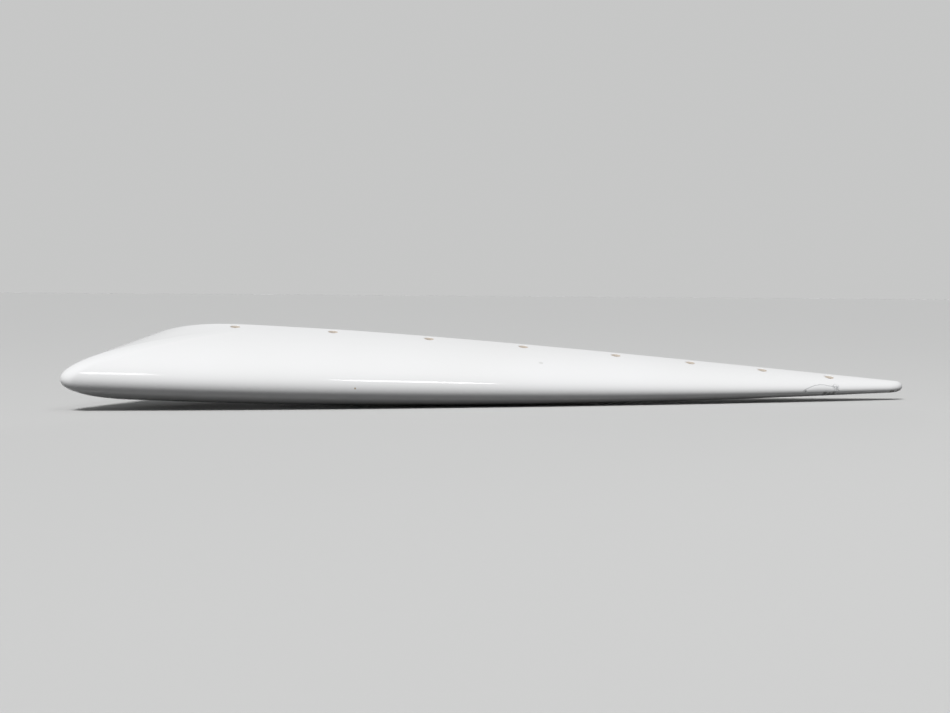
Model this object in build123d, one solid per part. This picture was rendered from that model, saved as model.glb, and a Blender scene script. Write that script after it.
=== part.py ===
from build123d import *

import os
from collections import namedtuple
from itertools import accumulate
from math import asin, atan2, cos, pi, radians, sin, tan

# Left-hand elevator tip: one moulded laminate shell, open along the face that meets the elevator.
# X runs aft from the foremost screw, Y runs inboard with the mating face at zero, and Z runs up
# from the chord plane, which halves the moulding. All sizes are in millimetres and degrees.

# Plan form, looking down on the chord plane
length = 582.0
nose_to_first_screw = 102.0
nose_width = 81.5
mid_width = 60.0
tail_width = 5.5
front_sweep = 36.0
nose_radius = 10.0
tail_radius = 13.0

# Side form, which is the outline of the mating face
half_height = 22.9
bow_length = 68.0
taper_angle = 2.9
tail_half_height = 4.0

# Section form, from the mating edge out to the rim
section_fullness = 0.575
square_to_nose = 262.0
fan_rate = 0.31

# Laminate
wall = 2.0
solid_tail = 25.0
mould_overrun = 2.0

# Countersunk screw holes, in line through both skins, closer together towards the tail
last_screw_to_tail = 59.0
gap_shares = [66, 66, 66, 66, 54, 53, 50]
screw_inset = 6.5
screw_hole_radius = 2.1
head_radius = 3.5
head_angle = 100.0

nose_x = -nose_to_first_screw
tail_x = nose_x + length
front_x = nose_x + front_sweep
crown_start = front_x + bow_length
crown_run = tail_x - crown_start

Station = namedtuple("Station", "spine_x rate rim heading")


def width_at(x):
    """Plan width at x: a parabola through the nose, middle and tail widths."""
    share = (x - nose_x) / length
    bulge = 2 * mid_width - (nose_width + tail_width) / 2
    return (1 - share) ** 2 * nose_width + 2 * share * (1 - share) * bulge + share**2 * tail_width


def width_slope_at(x):
    """Change of plan width per millimetre aft."""
    share = (x - nose_x) / length
    bulge = 2 * mid_width - (nose_width + tail_width) / 2
    return 2 * ((1 - share) * (bulge - nose_width) + share * (tail_width - bulge)) / length


def height_at(x):
    """Half height of the mating face at x: level at the bow, at the taper angle by the tail."""
    share = (x - crown_start) / crown_run
    drop = half_height - tail_half_height
    tail_drop = crown_run * tan(radians(taper_angle))
    return half_height - drop * share**2 * (3 - 2 * share) + tail_drop * share**2 * (1 - share)


def height_slope_at(x):
    """Change of that half height per millimetre aft."""
    share = (x - crown_start) / crown_run
    drop = half_height - tail_half_height
    tail_drop = crown_run * tan(radians(taper_angle))
    return (tail_drop * share * (2 - 3 * share) - 6 * drop * share * (1 - share)) / crown_run


def square_station(x, inset):
    """Station whose section stands square to the mating face."""
    return Station(x, 1.0, Vector(x, inset - width_at(x)), Vector(-1, width_slope_at(x)))


def layout(inset):
    """Stations from the tail round to the front edge, and the control leg between each pair."""
    corner_x = tail_x - tail_radius
    tail_round = tail_radius - inset
    tail_reach = (width_at(corner_x) - inset) / tail_round
    tail_end = Station(
        corner_x + tail_round / 2,
        0.0,
        Vector(corner_x + tail_round, mould_overrun),
        Vector(0, -tail_reach),
    )
    tail_corner = square_station(corner_x, inset)
    fan_start = square_station(nose_x + square_to_nose, inset)

    centre_x = nose_x + nose_radius
    centre = Vector(centre_x, nose_radius - width_at(centre_x))
    to_front = Vector(front_x, 0) - centre
    front_angle = atan2(to_front.Y, to_front.X) - asin(nose_radius / to_front.length)
    forward = Vector(cos(front_angle), sin(front_angle))
    radius = nose_radius - inset
    nose_front_rim = centre + Vector(-sin(front_angle), cos(front_angle)) * radius
    front_run = (mould_overrun - nose_front_rim.Y) / sin(front_angle)
    nose_turn = pi - front_angle
    nose_front_x = crown_start + fan_rate * front_run
    nose_side_x = nose_front_x + fan_rate * radius * nose_turn
    nose_side = Station(nose_side_x, fan_rate, centre - Vector(0, radius), Vector(-1, 0))
    nose_front = Station(nose_front_x, fan_rate, nose_front_rim, forward)
    front_end = Station(crown_start, fan_rate, nose_front_rim + forward * front_run, forward)

    stations = [tail_end, tail_corner, fan_start, nose_side, nose_front, front_end]
    legs = [
        tail_round * 0.55,
        (corner_x - fan_start.spine_x) / 3,
        (fan_start.spine_x - centre_x) / 3,
        radius * tan(nose_turn / 4) * 4 / 3,
        front_run / 3,
    ]
    return stations, legs


def section_poles(spine_x, height, rim):
    """Poles of the quarter oval from the top of the spine out to the rim."""
    foot = Vector(spine_x, mould_overrun)
    shoulder = foot + (rim - foot) * section_fullness
    rise = Vector(0, 0, height)
    return [foot + rise, shoulder + rise, rim + rise * section_fullness, rim]


def skin_patch(start, end, leg, inset):
    """Upper skin between two stations, which leaves each along its own heading."""
    start_step = -start.rate * leg
    end_step = -end.rate * leg
    start_height = height_at(start.spine_x) - inset
    end_height = height_at(end.spine_x) - inset
    spine_xs = [start.spine_x, start.spine_x + start_step, end.spine_x - end_step, end.spine_x]
    heights = [
        start_height,
        start_height + height_slope_at(start.spine_x) * start_step,
        end_height - height_slope_at(end.spine_x) * end_step,
        end_height,
    ]
    rims = [start.rim, start.rim + start.heading * leg, end.rim - end.heading * leg, end.rim]
    poles = [section_poles(*row) for row in zip(spine_xs, heights, rims)]
    return Face.make_bezier_surface(poles)


def moulding(inset):
    """Solid inside the skin, drawn in by inset, that runs past the mating face."""
    stations, legs = layout(inset)
    upper = [skin_patch(*ends, inset) for ends in zip(stations, stations[1:], legs)]
    lower = [patch.mirror(Plane.XY) for patch in upper]
    skin = ShapeList(upper + lower)
    cap = make_face(skin.edges().group_by(Axis.Y)[-1])
    return Solid(Shell([*skin, cap]))


def hollow_shell():
    """The moulding trimmed square at the mating face and hollowed up to the solid tail."""
    room = 2 * length
    outboard = Box(room, room, room, align=(Align.CENTER, Align.MAX, Align.CENTER))
    before_tail = Pos(tail_x - solid_tail) * Box(
        room, room, room, align=(Align.MAX, Align.CENTER, Align.CENTER)
    )
    return (moulding(0.0) & outboard) - (moulding(wall) & before_tail)


def screw_cutter(shell, x):
    """Spool that drills through both skins with a countersink let into the outside of each."""
    drill_line = Edge.make_line((x, -screw_inset, -half_height), (x, -screw_inset, half_height))
    outer_skin = max(vertex.Z for piece in shell.intersect(drill_line) for vertex in piece.vertices())
    spread = tan(radians(head_angle / 2))
    rim_radius = 2 * head_radius
    rim_z = outer_skin + (rim_radius - head_radius) / spread
    throat_z = outer_skin - (head_radius - screw_hole_radius) / spread
    profile = Polyline(
        (0, -rim_z),
        (rim_radius, -rim_z),
        (screw_hole_radius, -throat_z),
        (screw_hole_radius, throat_z),
        (rim_radius, rim_z),
        (0, rim_z),
        close=True,
    )
    spool = revolve(Plane.XZ * make_face(profile), Axis.Z)
    return Pos(x, -screw_inset, 0) * spool


shell = hollow_shell()
share = (tail_x - last_screw_to_tail) / sum(gap_shares)
screw_xs = [share * reach for reach in accumulate([0, *gap_shares])]
tip_shell = shell - [screw_cutter(shell, x) for x in screw_xs]
tip_shell.label = "tip_shell"

os.makedirs("parts", exist_ok=True)
export_step(tip_shell, "parts/tip_shell.step")
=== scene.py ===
from itertools import accumulate
from math import asin, atan2, cos, pi, radians, sin, tan

import bmesh
import bpy
from mathutils import Euler, Matrix, Vector


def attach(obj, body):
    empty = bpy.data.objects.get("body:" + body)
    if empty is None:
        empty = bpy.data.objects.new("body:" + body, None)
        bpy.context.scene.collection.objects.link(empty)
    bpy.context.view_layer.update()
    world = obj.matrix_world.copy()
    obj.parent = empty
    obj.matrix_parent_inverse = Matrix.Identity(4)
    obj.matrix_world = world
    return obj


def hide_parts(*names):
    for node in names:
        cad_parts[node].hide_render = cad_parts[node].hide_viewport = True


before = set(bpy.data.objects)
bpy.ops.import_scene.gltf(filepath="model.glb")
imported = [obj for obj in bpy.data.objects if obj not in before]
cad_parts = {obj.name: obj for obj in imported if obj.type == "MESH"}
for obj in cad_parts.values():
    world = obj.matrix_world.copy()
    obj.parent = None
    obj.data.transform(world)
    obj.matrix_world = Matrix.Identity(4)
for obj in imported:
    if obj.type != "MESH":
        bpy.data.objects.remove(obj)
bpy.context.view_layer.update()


# The shell is one hand-laid glass-fibre moulding, open along the face that meets the elevator.
# Every section across it is the same half oval, stretched from the crown of that face to the rim.
# X runs aft, Y inboard to the mating face at zero, and Z up from the chord plane.
length = 0.582
nose_x = -0.102
tail_x = nose_x + length
nose_width = 0.0815
mid_width = 0.060
tail_width = 0.0055
front_sweep = 0.036
nose_radius = 0.010
tail_radius = 0.013
half_height = 0.0229
bow_length = 0.068
tail_half_height = 0.004
taper_angle = 2.9
section_fullness = 0.575
square_to_nose = 0.262
fan_rate = 0.31
mould_overrun = 0.002
tail_leg_share = 0.55
wall = 0.002
solid_tail = 0.025
rows_per_stretch = 60
columns_across = 144
trim_tolerance = 1e-7
join_tolerance = 1e-6


def width_at(x):
    """Plan width at x and its change per metre aft."""
    share = (x - nose_x) / length
    bulge = 2 * mid_width - (nose_width + tail_width) / 2
    width = (1 - share) ** 2 * nose_width + 2 * share * (1 - share) * bulge + share**2 * tail_width
    slope = 2 * ((1 - share) * (bulge - nose_width) + share * (tail_width - bulge)) / length
    return width, slope


def height_at(x):
    """Half height of the open face at x and its change per metre aft."""
    start = nose_x + front_sweep + bow_length
    run = tail_x - start
    share = (x - start) / run
    drop = half_height - tail_half_height
    tail_drop = run * tan(radians(taper_angle))
    height = half_height - drop * share**2 * (3 - 2 * share) + tail_drop * share**2 * (1 - share)
    slope = (tail_drop * share * (2 - 3 * share) - 6 * drop * share * (1 - share)) / run
    return height, slope


def stations(inset):
    """Spine x, spine rate, rim point and rim heading at each station, and the legs between."""
    corner_x = tail_x - tail_radius
    corner_width, corner_slope = width_at(corner_x)
    tail_round = tail_radius - inset
    tail_reach = (corner_width - inset) / tail_round
    square_x = nose_x + square_to_nose
    square_width, square_slope = width_at(square_x)

    centre_x = nose_x + nose_radius
    centre = Vector((centre_x, nose_radius - width_at(centre_x)[0], 0))
    to_front = Vector((nose_x + front_sweep, 0, 0)) - centre
    front_angle = atan2(to_front.y, to_front.x) - asin(nose_radius / to_front.length)
    forward = Vector((cos(front_angle), sin(front_angle), 0))
    radius = nose_radius - inset
    nose_front = centre + Vector((-forward.y, forward.x, 0)) * radius
    front_run = (mould_overrun - nose_front.y) / forward.y
    nose_turn = pi - front_angle
    crown_x = nose_x + front_sweep + bow_length
    nose_front_x = crown_x + fan_rate * front_run
    nose_side_x = nose_front_x + fan_rate * radius * nose_turn

    places = [
        (
            corner_x + tail_round / 2,
            0,
            (corner_x + tail_round, mould_overrun, 0),
            (0, -tail_reach, 0),
        ),
        (corner_x, 1, (corner_x, inset - corner_width, 0), (-1, corner_slope, 0)),
        (square_x, 1, (square_x, inset - square_width, 0), (-1, square_slope, 0)),
        (nose_side_x, fan_rate, centre - Vector((0, radius, 0)), (-1, 0, 0)),
        (nose_front_x, fan_rate, nose_front, forward),
        (crown_x, fan_rate, nose_front + forward * front_run, forward),
    ]
    legs = [
        tail_round * tail_leg_share,
        (corner_x - square_x) / 3,
        (square_x - centre_x) / 3,
        radius * tan(nose_turn / 4) * 4 / 3,
        front_run / 3,
    ]
    return places, legs


def placed(name, data):
    """Object that holds a curve, mesh, lamp or camera, added to the scene."""
    obj = bpy.data.objects.new(name, data)
    bpy.context.scene.collection.objects.link(obj)
    return obj


def guide_curve(name, knots, legs):
    """Bezier curve that crosses each knot along the knot's heading."""
    data = bpy.data.curves.new(name, "CURVE")
    data.dimensions = "3D"
    data.resolution_u = rows_per_stretch
    spline = data.splines.new("BEZIER")
    spline.bezier_points.add(len(knots) - 1)
    for point, (place, heading), before, after in zip(
        spline.bezier_points, knots, [legs[0], *legs], [*legs, legs[-1]]
    ):
        point.handle_left_type = point.handle_right_type = "FREE"
        point.co = place
        point.handle_left = Vector(place) - Vector(heading) * before
        point.handle_right = Vector(place) + Vector(heading) * after
    return placed(name, data)


def new_tree(kind, name, inputs, output):
    """Tree with named inputs and one output, given with their socket kinds, and its end nodes."""
    tree = bpy.data.node_groups.new(name, kind)
    sockets = [(*socket, "INPUT") for socket in inputs.items()] + [(*output, "OUTPUT")]
    for label, socket_kind, side in sockets:
        tree.interface.new_socket(label, in_out=side, socket_type="NodeSocket" + socket_kind)
    return tree, tree.nodes.new("NodeGroupInput"), tree.nodes.new("NodeGroupOutput")


def add_node(tree, kind, inputs, **settings):
    """Node in a tree, with each of its named or numbered inputs linked or set."""
    node = tree.nodes.new(kind)
    for label, value in settings.items():
        setattr(node, label, value)
    for socket, value in inputs.items():
        if isinstance(value, bpy.types.NodeSocket):
            tree.links.new(value, node.inputs[socket])
        else:
            node.inputs[socket].default_value = value
    return node


def add_sum(tree, operation, *terms):
    """Result of one sum on numbers in a tree."""
    return add_node(tree, "ShaderNodeMath", dict(enumerate(terms)), operation=operation).outputs[0]


def add_vector_sum(tree, operation, first, second):
    """Result of one sum on vectors in a tree, or of a vector and the number it is scaled by."""
    inputs = {0: first, "Scale" if operation == "SCALE" else 1: second}
    return add_node(tree, "ShaderNodeVectorMath", inputs, operation=operation).outputs[0]


def mesh_from_tree(obj, tree, values):
    """Plain mesh that the tree makes on the object with its named inputs set."""
    modifier = obj.modifiers.new(tree.name, "NODES")
    modifier.node_group = tree
    for item in tree.interface.items_tree:
        if item.in_out == "INPUT" and item.name in values:
            modifier[item.identifier] = values[item.name]
    depsgraph = bpy.context.evaluated_depsgraph_get()
    mesh = bpy.data.meshes.new_from_object(obj.evaluated_get(depsgraph))
    obj.modifiers.remove(modifier)
    return mesh


skin_tree, skin_in, skin_out = new_tree(
    "GeometryNodeTree",
    "laid skin",
    {
        "Rim": "Object",
        "Spine": "Object",
        "Fullness": "Float",
        "Rows": "Int",
        "Columns": "Int",
        "Finish": "Material",
    },
    ("Geometry", "Geometry"),
)
grid = add_node(
    skin_tree,
    "GeometryNodeMeshGrid",
    {"Vertices X": skin_in.outputs["Rows"], "Vertices Y": skin_in.outputs["Columns"]},
)
index = add_node(skin_tree, "GeometryNodeInputIndex", {}).outputs[0]
columns = skin_in.outputs["Columns"]
row = add_sum(skin_tree, "FLOOR", add_sum(skin_tree, "DIVIDE", index, columns))
column = add_sum(skin_tree, "SUBTRACT", index, add_sum(skin_tree, "MULTIPLY", row, columns))
half_way = add_sum(skin_tree, "DIVIDE", add_sum(skin_tree, "SUBTRACT", columns, 1.0), 2.0)
upward = add_sum(skin_tree, "SUBTRACT", 1.0, add_sum(skin_tree, "DIVIDE", column, half_way))
inward = add_sum(skin_tree, "ABSOLUTE", upward)
outward = add_sum(skin_tree, "SUBTRACT", 1.0, inward)
fullness = skin_in.outputs["Fullness"]

crown_pull = add_sum(skin_tree, "POWER", inward, 3.0)
rim_pull = add_sum(skin_tree, "POWER", outward, 3.0)
both_pulls = add_sum(skin_tree, "MULTIPLY", add_sum(skin_tree, "MULTIPLY", inward, outward), 3.0)
shoulder_pull = add_sum(skin_tree, "MULTIPLY", both_pulls, inward)
flank_pull = add_sum(skin_tree, "MULTIPLY", both_pulls, outward)
reach = add_sum(
    skin_tree,
    "MULTIPLY_ADD",
    shoulder_pull,
    fullness,
    add_sum(skin_tree, "ADD", flank_pull, rim_pull),
)
lift = add_sum(
    skin_tree,
    "MULTIPLY_ADD",
    flank_pull,
    fullness,
    add_sum(skin_tree, "ADD", shoulder_pull, crown_pull),
)
signed_lift = add_sum(skin_tree, "MULTIPLY", lift, add_sum(skin_tree, "SIGN", upward))

guide_points = []
for label in ("Spine", "Rim"):
    guide = add_node(skin_tree, "GeometryNodeObjectInfo", {"Object": skin_in.outputs[label]})
    line = add_node(skin_tree, "GeometryNodeCurveToMesh", {"Curve": guide.outputs["Geometry"]})
    along = add_node(skin_tree, "GeometryNodeInputPosition", {})
    sample = add_node(
        skin_tree,
        "GeometryNodeSampleIndex",
        {"Geometry": line.outputs[0], "Value": along.outputs[0], "Index": row},
        data_type="FLOAT_VECTOR",
    )
    guide_points.append(sample.outputs[0])
spine_point, rim_point = guide_points
foot = add_vector_sum(skin_tree, "MULTIPLY", spine_point, (1.0, 1.0, 0.0))
rise = add_vector_sum(skin_tree, "MULTIPLY", spine_point, (0.0, 0.0, 1.0))
spread = add_vector_sum(skin_tree, "SUBTRACT", rim_point, foot)
flat = add_vector_sum(skin_tree, "ADD", foot, add_vector_sum(skin_tree, "SCALE", spread, reach))
place = add_vector_sum(
    skin_tree, "ADD", flat, add_vector_sum(skin_tree, "SCALE", rise, signed_lift)
)
laid = add_node(
    skin_tree, "GeometryNodeSetPosition", {"Geometry": grid.outputs[0], "Position": place}
)
one_skin = add_node(skin_tree, "GeometryNodeRealizeInstances", {0: laid.outputs[0]})
finished_skin = add_node(
    skin_tree,
    "GeometryNodeSetMaterial",
    {"Geometry": one_skin.outputs[0], "Material": skin_in.outputs["Finish"]},
)
skin_tree.links.new(finished_skin.outputs[0], skin_out.inputs[0])

white_paint = bpy.data.materials.new("white paint")
bare_laminate = bpy.data.materials.new("bare laminate")
cut_laminate = bpy.data.materials.new("cut laminate")
finishes = [white_paint, bare_laminate, cut_laminate]


def trimmed_skin(name, inset, finish, trims):
    """Mesh of one skin, drawn in from the mould face by inset and cleared past each trim plane."""
    places, legs = stations(inset)
    spine_knots = []
    for x, rate, _, _ in places:
        height, slope = height_at(x)
        spine_knots.append(((x, mould_overrun, height - inset), (-rate, 0, -rate * slope)))
    spine_guide = guide_curve(name + " spine", spine_knots, legs)
    rim_guide = guide_curve(name + " rim", [knot[2:] for knot in places], legs)
    blank = placed(name, bpy.data.meshes.new(name))
    values = {
        "Rim": rim_guide,
        "Spine": spine_guide,
        "Fullness": section_fullness,
        "Rows": len(legs) * rows_per_stretch + 1,
        "Columns": columns_across + 1,
        "Finish": finish,
    }
    skin = bmesh.new()
    skin.from_mesh(mesh_from_tree(blank, skin_tree, values))
    for helper in (spine_guide, rim_guide, blank):
        bpy.data.objects.remove(helper)
    for place, normal in trims:
        geometry = skin.verts[:] + skin.edges[:] + skin.faces[:]
        bmesh.ops.bisect_plane(
            skin,
            geom=geometry,
            plane_co=place,
            plane_no=normal,
            clear_outer=True,
            dist=trim_tolerance,
        )
    for face in skin.faces:
        face.material_index = finishes.index(finish)
    mesh = bpy.data.meshes.new(name)
    skin.to_mesh(mesh)
    return mesh


mating_trim = ((0, 0, 0), (0, 1, 0))
tail_trim = ((tail_x - solid_tail, 0, 0), (1, 0, 0))
shell = bmesh.new()
shell.from_mesh(trimmed_skin("outer skin", 0.0, white_paint, [mating_trim]))
shell.from_mesh(trimmed_skin("inner skin", wall, bare_laminate, [mating_trim, tail_trim]))


def on_mating_plane(vertex):
    """Whether a vertex lies on the mating face."""
    return abs(vertex.co.y) < join_tolerance


open_edges = [edge for edge in shell.edges if edge.is_boundary]
mating_edges = [edge for edge in open_edges if all(map(on_mating_plane, edge.verts))]
tail_edges = [edge for edge in open_edges if edge not in mating_edges]
tail_corners = [v for edge in tail_edges for v in edge.verts if on_mating_plane(v)]
tail_joint = shell.edges.new(tail_corners)
tail_wall = bmesh.ops.edgeloop_fill(shell, edges=[*tail_edges, tail_joint])["faces"]
mating_face = bmesh.ops.triangle_fill(
    shell, edges=[*mating_edges, tail_joint], use_beauty=True, normal=(0, 1, 0)
)["geom"]
for faces, finish in ((tail_wall, bare_laminate), (mating_face, cut_laminate)):
    for face in faces:
        if isinstance(face, bmesh.types.BMFace):
            face.material_index = finishes.index(finish)
bmesh.ops.recalc_face_normals(shell, faces=shell.faces[:])
shell_mesh = bpy.data.meshes.new("moulded shell")
shell.to_mesh(shell_mesh)
for finish in finishes:
    shell_mesh.materials.append(finish)
moulded_shell = placed("moulded_shell", shell_mesh)


# The screw holes run along the mating edge through both skins, closer together towards the tail.
# Each is countersunk for a flush screw. Paint covers the lip of the countersink, and the rest is
# bare where the drill cut it.
screw_gaps = [0.066, 0.066, 0.066, 0.066, 0.054, 0.053, 0.050]
screw_xs = list(accumulate(screw_gaps, initial=0.0))
screw_inset = 0.0065
hole_radius = 0.0021
head_radius = 0.0035
head_angle = 100
painted_lip = 0.0002
cutter_radius = 0.006
drill_depth = 0.0045
cutter_sides = 48
crease_angle = 28

cone_run = tan(radians(head_angle / 2))
cutter_profile = [
    (0.0, (cutter_radius - head_radius) / cone_run),
    (cutter_radius, (cutter_radius - head_radius) / cone_run),
    (head_radius - painted_lip, -painted_lip / cone_run),
    (hole_radius, (hole_radius - head_radius) / cone_run),
    (hole_radius, -drill_depth),
    (0.0, -drill_depth),
]
cutter_form = bmesh.new()
profile_points = [cutter_form.verts.new((radius, 0, z)) for radius, z in cutter_profile]
profile_edges = [cutter_form.edges.new(pair) for pair in zip(profile_points, profile_points[1:])]
bmesh.ops.spin(
    cutter_form,
    geom=profile_points + profile_edges,
    cent=(0, 0, 0),
    axis=(0, 0, 1),
    angle=2 * pi,
    steps=cutter_sides,
    use_merge=True,
)
bmesh.ops.remove_doubles(cutter_form, verts=cutter_form.verts[:], dist=join_tolerance)
bmesh.ops.recalc_face_normals(cutter_form, faces=cutter_form.faces[:])
unpainted = cutter_form.faces.layers.bool.new("unpainted")
for face in cutter_form.faces:
    face[unpainted] = all(v.co.xy.length < head_radius - painted_lip / 2 for v in face.verts)
cutter_mesh = bpy.data.meshes.new("countersink cutter")
cutter_form.to_mesh(cutter_mesh)
cutter = placed("countersink cutter", cutter_mesh)
screw_line_mesh = bpy.data.meshes.new("screw line")
screw_line_mesh.from_pydata([(x, -screw_inset, 0) for x in screw_xs], [], [])
screw_line = placed("screw line", screw_line_mesh)

hole_tree, hole_in, hole_out = new_tree(
    "GeometryNodeTree",
    "countersunk holes",
    {
        "Screw Line": "Geometry",
        "Shell": "Object",
        "Cutter": "Object",
        "Reach": "Float",
        "Lip Finish": "Material",
        "Cut Finish": "Material",
    },
    ("Geometry", "Geometry"),
)
target = add_node(hole_tree, "GeometryNodeObjectInfo", {"Object": hole_in.outputs["Shell"]})
tool = add_node(hole_tree, "GeometryNodeObjectInfo", {"Object": hole_in.outputs["Cutter"]})
station = add_node(hole_tree, "GeometryNodeInputPosition", {}).outputs[0]
both_skins = add_node(hole_tree, "GeometryNodeJoinGeometry", {})
for side, turn in ((1.0, 0.0), (-1.0, pi)):
    stand_off = add_sum(hole_tree, "MULTIPLY", hole_in.outputs["Reach"], side)
    outside = add_node(hole_tree, "ShaderNodeCombineXYZ", {"Z": stand_off})
    ray = add_node(
        hole_tree,
        "GeometryNodeRaycast",
        {
            "Target Geometry": target.outputs["Geometry"],
            "Source Position": add_vector_sum(hole_tree, "ADD", station, outside.outputs[0]),
            "Ray Direction": (0.0, 0.0, -side),
            "Ray Length": hole_in.outputs["Reach"],
        },
    )
    on_skin = add_node(
        hole_tree,
        "GeometryNodeSetPosition",
        {"Geometry": hole_in.outputs["Screw Line"], "Position": ray.outputs["Hit Position"]},
    )
    tools = add_node(
        hole_tree,
        "GeometryNodeInstanceOnPoints",
        {
            "Points": on_skin.outputs[0],
            "Instance": tool.outputs["Geometry"],
            "Rotation": (turn, 0.0, 0.0),
        },
    )
    hole_tree.links.new(tools.outputs[0], both_skins.inputs[0])
solid_tools = add_node(hole_tree, "GeometryNodeRealizeInstances", {0: both_skins.outputs[0]})
lip_tools = add_node(
    hole_tree,
    "GeometryNodeSetMaterial",
    {"Geometry": solid_tools.outputs[0], "Material": hole_in.outputs["Lip Finish"]},
)
cut_faces = add_node(
    hole_tree, "GeometryNodeInputNamedAttribute", {"Name": "unpainted"}, data_type="BOOLEAN"
)
finished_tools = add_node(
    hole_tree,
    "GeometryNodeSetMaterial",
    {
        "Geometry": lip_tools.outputs[0],
        "Selection": cut_faces.outputs["Attribute"],
        "Material": hole_in.outputs["Cut Finish"],
    },
)
hole_tree.links.new(finished_tools.outputs[0], hole_out.inputs[0])

values = {
    "Shell": moulded_shell,
    "Cutter": cutter,
    "Reach": 2 * half_height,
    "Lip Finish": white_paint,
    "Cut Finish": cut_laminate,
}
screw_cutters = placed("screw cutters", mesh_from_tree(screw_line, hole_tree, values))
drilling = moulded_shell.modifiers.new("drilling", "BOOLEAN")
drilling.operation = "DIFFERENCE"
drilling.solver = "EXACT"
drilling.material_mode = "TRANSFER"
drilling.object = screw_cutters
depsgraph = bpy.context.evaluated_depsgraph_get()
drilled_mesh = bpy.data.meshes.new_from_object(moulded_shell.evaluated_get(depsgraph))
moulded_shell.modifiers.remove(drilling)
moulded_shell.data = drilled_mesh
for helper in (cutter, screw_line, screw_cutters):
    bpy.data.objects.remove(helper)
drilled_mesh.polygons.foreach_set("use_smooth", [True] * len(drilled_mesh.polygons))
drilled_mesh.set_sharp_from_angle(angle=radians(crease_angle))

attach(moulded_shell, "root")
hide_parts("tip_shell")


# The outside is sprayed with gloss white enamel over filled laminate. The finish has worn in a
# few places: a pin chip low on the side, a crazed scuff near the tail and rubbed patches under
# the tail end. A small grey disc on top is painted shade standing for a shallow filled dimple.
paint_white = (0.83, 0.83, 0.835, 1.0)
paint_aged = (0.79, 0.79, 0.785, 1.0)
dimple_shade_grey = (0.70, 0.70, 0.69, 1.0)
chip_brown = (0.42, 0.32, 0.21, 1.0)
scuff_grey = (0.20, 0.21, 0.22, 1.0)
smudge_dark = (0.25, 0.25, 0.245, 1.0)
rubbed_brown = (0.11, 0.085, 0.06, 1.0)
scuff_centre = (0.4105, 0.0, -0.0025)
scuff_reach = (0.0157, 1.0, 0.0063)
scuff_bottom = 0.0
scuff_inboard = -0.0155
scuff_waver = 0.16
scuff_edge = 1.08
scuff_line_width = 0.03
scuff_line_weight = 0.5
crazed_place = (0.4220, -0.0172, 0.0022)

mark_tree, mark_in, mark_out = new_tree(
    "ShaderNodeTree",
    "ragged mark",
    {"Place": "Vector", "Radius": "Float", "Ragged": "Float", "Grain": "Float"},
    ("Mask", "Float"),
)
mark_coords = add_node(mark_tree, "ShaderNodeTexCoord", {}).outputs["Object"]
mark_edge = add_node(
    mark_tree,
    "ShaderNodeTexNoise",
    {"Vector": mark_coords, "Scale": mark_in.outputs["Grain"], "Detail": 4.0},
)
mark_distance = add_node(
    mark_tree,
    "ShaderNodeVectorMath",
    {0: mark_coords, 1: mark_in.outputs["Place"]},
    operation="DISTANCE",
)
mark_wander = add_sum(
    mark_tree,
    "MULTIPLY_ADD",
    mark_edge.outputs["Fac"],
    mark_in.outputs["Ragged"],
    mark_distance.outputs["Value"],
)
mark_inside = add_node(
    mark_tree,
    "ShaderNodeMapRange",
    {"Value": mark_wander, "From Min": mark_in.outputs["Radius"], "From Max": 0.0, "To Max": 3.0},
)
mark_tree.links.new(mark_inside.outputs[0], mark_out.inputs[0])


def ragged_mark(tree, place, radius, ragged, grain):
    """Mask of one mark with a ragged edge in a material."""
    group = tree.nodes.new("ShaderNodeGroup")
    group.node_tree = mark_tree
    inputs = {"Place": place, "Radius": radius, "Ragged": ragged, "Grain": grain}
    for label, value in inputs.items():
        group.inputs[label].default_value = value
    return group.outputs["Mask"]


def covered(tree, mask, under, over):
    """Colour that turns from one to the other where the mask is set."""
    share, first_colour, second_colour, mixed_colour = 0, 6, 7, 2
    inputs = {share: mask, first_colour: under, second_colour: over}
    return add_node(tree, "ShaderNodeMix", inputs, data_type="RGBA").outputs[mixed_colour]


white_paint.use_nodes = True
paint = white_paint.node_tree
paint_surface = paint.nodes["Principled BSDF"]
paint_surface.inputs["Roughness"].default_value = 0.09
paint_surface.inputs["IOR"].default_value = 1.5
coords = add_node(paint, "ShaderNodeTexCoord", {}).outputs["Object"]

cloud = add_node(paint, "ShaderNodeTexNoise", {"Vector": coords, "Scale": 9.0, "Detail": 5.0})
ageing = add_node(
    paint,
    "ShaderNodeMapRange",
    {"Value": cloud.outputs["Fac"], "From Min": 0.35, "From Max": 0.75, "To Max": 0.6},
)
colour = covered(paint, ageing.outputs[0], paint_white, paint_aged)

scuff_space = add_node(
    paint,
    "ShaderNodeMapping",
    {"Vector": coords, "Location": scuff_centre, "Scale": scuff_reach},
    vector_type="TEXTURE",
)
scuff_flat = add_vector_sum(paint, "MULTIPLY", scuff_space.outputs[0], (1.0, 0.0, 1.0))
scuff_radius = add_node(paint, "ShaderNodeVectorMath", {0: scuff_flat}, operation="LENGTH")
scuff_wander = add_node(
    paint, "ShaderNodeTexNoise", {"Vector": coords, "Scale": 240.0, "Detail": 3.0}
)
scuff_path = add_sum(
    paint, "MULTIPLY_ADD", scuff_wander.outputs["Fac"], scuff_waver, scuff_radius.outputs["Value"]
)
scuff_line = add_sum(paint, "COMPARE", scuff_path, scuff_edge, scuff_line_width)
scuff_inside = add_node(
    paint,
    "ShaderNodeMapRange",
    {"Value": scuff_path, "From Min": scuff_edge, "From Max": 0.55, "To Max": 0.22},
)
scuff_rub = add_sum(
    paint, "MULTIPLY_ADD", scuff_line, scuff_line_weight, scuff_inside.outputs[0]
)
scuff_side = add_node(paint, "ShaderNodeSeparateXYZ", {0: coords})
scuff_above = add_sum(paint, "GREATER_THAN", scuff_side.outputs["Z"], scuff_bottom)
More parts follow.
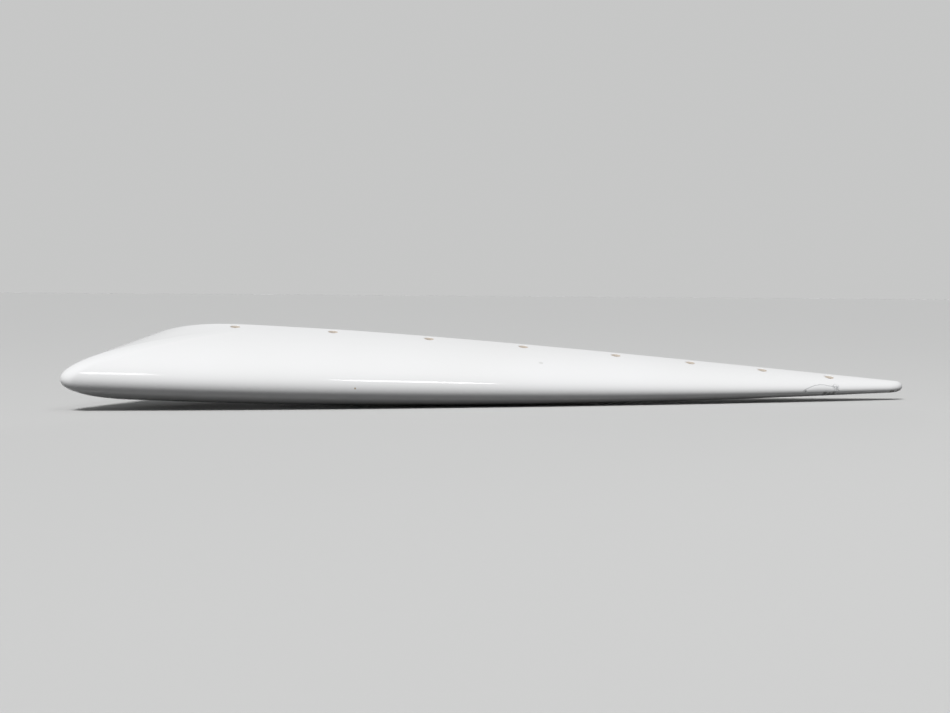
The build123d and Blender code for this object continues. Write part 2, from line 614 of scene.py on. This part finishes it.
scuff_outboard = add_sum(paint, "LESS_THAN", scuff_side.outputs["Y"], scuff_inboard)
scuff_mask = add_sum(
    paint, "MULTIPLY", add_sum(paint, "MULTIPLY", scuff_rub, scuff_above), scuff_outboard
)
colour = covered(paint, scuff_mask, colour, scuff_grey)

crazing = add_node(
    paint, "ShaderNodeTexVoronoi", {"Vector": coords, "Scale": 620.0}, feature="DISTANCE_TO_EDGE"
)
crack = add_node(
    paint,
    "ShaderNodeMapRange",
    {"Value": crazing.outputs["Distance"], "From Min": 0.16, "From Max": 0.04, "To Max": 0.5},
)
crazed_patch = ragged_mark(paint, crazed_place, radius=0.0056, ragged=0.004, grain=500.0)
crazed_cracks = add_sum(paint, "MULTIPLY", crack.outputs[0], crazed_patch)
colour = covered(paint, crazed_cracks, colour, scuff_grey)

# The nick and the three rubs of the scuff come first, then the two rubbed patches under the tail
# end, the pin chip and the grey disc of painted dimple shade.
for mark_place, mark_radius, mark_ragged, mark_grain, mark_colour in (
    ((0.3982, -0.0238, 0.0001), 0.0020, 0.0018, 1100.0, scuff_grey),
    ((0.4138, -0.0200, -0.0019), 0.0038, 0.0030, 900.0, smudge_dark),
    ((0.4174, -0.0190, -0.0025), 0.0034, 0.0026, 900.0, smudge_dark),
    ((0.4206, -0.0181, -0.0017), 0.0035, 0.0028, 900.0, smudge_dark),
    ((0.4690, -0.0075, -0.0026), 0.0044, 0.0034, 700.0, rubbed_brown),
    ((0.4750, -0.0058, -0.0022), 0.0044, 0.0034, 700.0, rubbed_brown),
    ((0.0818, -0.0718, 0.0018), 0.0010, 0.0005, 1500.0, chip_brown),
    # Grey disc painted as the shade of a shallow filled dimple, not a colour of the paint itself.
    ((0.2067, -0.0344, 0.0145), 0.0021, 0.0004, 700.0, dimple_shade_grey),
):
    mark_mask = ragged_mark(paint, mark_place, mark_radius, mark_ragged, mark_grain)
    colour = covered(paint, mark_mask, colour, mark_colour)
paint.links.new(colour, paint_surface.inputs["Base Color"])

peel = add_node(paint, "ShaderNodeTexNoise", {"Vector": coords, "Scale": 520.0, "Detail": 2.0})
waves = add_node(paint, "ShaderNodeTexNoise", {"Vector": coords, "Scale": 22.0, "Detail": 1.0})
peel_bump = add_node(
    paint,
    "ShaderNodeBump",
    {"Height": peel.outputs["Fac"], "Strength": 0.1, "Distance": 0.00001},
)
wave_bump = add_node(
    paint,
    "ShaderNodeBump",
    {
        "Height": waves.outputs["Fac"],
        "Strength": 0.4,
        "Distance": 0.00004,
        "Normal": peel_bump.outputs[0],
    },
)
paint.links.new(wave_bump.outputs[0], paint_surface.inputs["Normal"])


# The inside is left as it came off the roller: bare plain-woven glass cloth in tan resin, patchy
# where the resin pooled, with its weave standing slightly proud.
resin_tan = (0.68, 0.57, 0.40, 1.0)
resin_dark = (0.46, 0.36, 0.23, 1.0)
strand_width = 0.0018
wave_radians = 20

bare_laminate.use_nodes = True
laminate = bare_laminate.node_tree
laminate_surface = laminate.nodes["Principled BSDF"]
laminate_surface.inputs["IOR"].default_value = 1.5
coords = add_node(laminate, "ShaderNodeTexCoord", {}).outputs["Object"]
# One wave spans two strands. At a scale of 1 it turns through 20 radians in a metre.
strands = []
for direction in ("X", "Y"):
    strand = add_node(
        laminate,
        "ShaderNodeTexWave",
        {
            "Vector": coords,
            "Scale": pi / strand_width / wave_radians,
            "Distortion": 0.6,
            "Detail": 1.0,
            "Detail Scale": 3.0,
        },
        bands_direction=direction,
    )
    strands.append(strand.outputs["Fac"])
weave = add_sum(laminate, "MULTIPLY", *strands)
pools = add_node(laminate, "ShaderNodeTexNoise", {"Vector": coords, "Scale": 35.0, "Detail": 5.0})
tone = add_node(
    laminate,
    "ShaderNodeMapRange",
    {"Value": add_sum(laminate, "MULTIPLY", weave, pools.outputs["Fac"]), "From Max": 0.45},
)
laminate.links.new(
    covered(laminate, tone.outputs[0], resin_dark, resin_tan), laminate_surface.inputs["Base Color"]
)
gloss = add_node(
    laminate,
    "ShaderNodeMapRange",
    {"Value": pools.outputs["Fac"], "From Min": 0.3, "From Max": 0.7, "To Min": 0.3, "To Max": 0.6},
)
laminate.links.new(gloss.outputs[0], laminate_surface.inputs["Roughness"])
cloth_bump = add_node(
    laminate, "ShaderNodeBump", {"Height": weave, "Strength": 0.5, "Distance": 0.0002}
)
laminate.links.new(cloth_bump.outputs[0], laminate_surface.inputs["Normal"])


# The saw that trimmed the mating edge and the bit that drilled the holes left broken ends of glass.
# They look greyer and drier than the resin-rich inside, with a fine tooth.
cut_pale = (0.58, 0.52, 0.46, 1.0)
cut_tan = (0.48, 0.42, 0.35, 1.0)

cut_laminate.use_nodes = True
cut_ends = cut_laminate.node_tree
cut_surface = cut_ends.nodes["Principled BSDF"]
cut_surface.inputs["Roughness"].default_value = 0.75
coords = add_node(cut_ends, "ShaderNodeTexCoord", {}).outputs["Object"]
tooth = add_node(
    cut_ends, "ShaderNodeTexNoise", {"Vector": coords, "Scale": 1800.0, "Detail": 3.0}
)
cut_ends.links.new(
    covered(cut_ends, tooth.outputs["Fac"], cut_tan, cut_pale), cut_surface.inputs["Base Color"]
)
tooth_bump = add_node(
    cut_ends,
    "ShaderNodeBump",
    {"Height": tooth.outputs["Fac"], "Strength": 0.6, "Distance": 0.00005},
)
cut_ends.links.new(tooth_bump.outputs[0], cut_surface.inputs["Normal"])


# In the studio the tip lies on its lower skin on a plain floor, nose rim down, as it comes to rest.
# The part keeps the aircraft's own axes, so the floor, lamps and camera are turned to suit it.
floor_drop = 0.0782
floor_size = 14.0
floor_pale = (0.58, 0.58, 0.575, 1.0)
floor_under_part = (0.10, 0.10, 0.10, 1.0)
wall_pale = (0.569, 0.572, 0.569, 1.0)
wall_light = (0.20, 0.205, 0.21, 1.0)
part_middle = Vector((0.0, 0.87, -0.05))
lie_place = (-0.16487, 0.87654, -0.04741)
lie_turns = (11.97, 2.58, 6.155)
strip_depth = 0.16
camera_pitch = 3.03
camera_roll = 0.4167

lie_turn = Euler([radians(turn) for turn in lie_turns], "XYZ").to_matrix().to_4x4()
studio = (Matrix.Translation(lie_place) @ lie_turn).inverted()

floor_mesh = bpy.data.meshes.new("floor")
floor_corners = [
    studio @ Vector((x * floor_size, y * floor_size, -floor_drop))
    for x, y in ((-1, -1), (1, -1), (1, 1), (-1, 1))
]
floor_mesh.from_pydata(floor_corners, [], [range(4)])
floor = placed("floor", floor_mesh)

floor_paper = bpy.data.materials.new("floor paper")
floor_paper.use_nodes = True
paper = floor_paper.node_tree
floor_mesh.materials.append(floor_paper)
world = bpy.data.worlds.new("studio walls")
world.use_nodes = True
walls = world.node_tree
bpy.context.scene.world = world
for tree, lit, seen in ((paper, floor_under_part, floor_pale), (walls, wall_light, wall_pale)):
    rays = add_node(tree, "ShaderNodeLightPath", {})
    in_view = add_sum(tree, "ADD", rays.outputs["Is Camera Ray"], rays.outputs["Is Glossy Ray"])
    shade = covered(tree, in_view, lit, seen)
    if tree is walls:
        tree.links.new(shade, tree.nodes["Background"].inputs["Color"])
    else:
        matt = add_node(tree, "ShaderNodeBsdfDiffuse", {"Color": shade})
        underneath = add_node(tree, "ShaderNodeNewGeometry", {})
        clear = add_node(tree, "ShaderNodeBsdfTransparent", {})
        one_sided = add_node(
            tree,
            "ShaderNodeMixShader",
            {0: underneath.outputs["Backfacing"], 1: matt.outputs[0], 2: clear.outputs[0]},
        )
        tree.links.new(one_sided.outputs[0], tree.nodes["Material Output"].inputs["Surface"])


def lamp(name, kind, place, width_way, watts):
    """Lamp at a place in the studio that shines on the part, with its width along a direction."""
    data = bpy.data.lights.new(name, kind)
    data.energy = watts
    obj = placed(name, data)
    away = (place - part_middle).normalized()
    up = away.cross(width_way).normalized()
    axes = Matrix((up.cross(away), up, away)).transposed().to_4x4()
    obj.matrix_world = studio @ Matrix.Translation(place) @ axes
    return obj


for name, away, strength, softness in (
    ("skylight", Vector((-0.24, -0.54, 0.86)), 2.74, 16),
    ("rear fill", Vector((0.2, 1.0, 0.02)), 2.6, 10),
):
    daylight = lamp(name, "SUN", part_middle + away, Vector((1, 0, 0)), strength)
    daylight.data.angle = radians(softness)
    daylight.visible_glossy = False
for name, left_end, right_end, watts in (
    ("left strip", Vector((-0.372, 0.043, 1.0)), Vector((-0.231, 0.289, 1.0)), 0.68),
    ("right strip", Vector((0.175, 0.169, 1.0)), Vector((0.514, 0.220, 1.0)), 1.50),
):
    strip = lamp(name, "AREA", (left_end + right_end) / 2, right_end - left_end, watts)
    strip.data.shape = "ELLIPSE"
    strip.data.size = (right_end - left_end).length
    strip.data.size_y = strip_depth

camera_data = bpy.data.cameras.new("camera")
camera_data.sensor_width = 36.0
camera_data.lens = 48.365
camera_data.clip_start = 0.05
camera_data.clip_end = 100.0
camera = placed("camera", camera_data)
pitch = Matrix.Rotation(radians(90 - camera_pitch), 4, "X")
roll = Matrix.Rotation(radians(camera_roll), 4, "Z")
camera.matrix_world = studio @ pitch @ roll
bpy.context.scene.camera = camera
bpy.context.scene.view_settings.view_transform = "Standard"
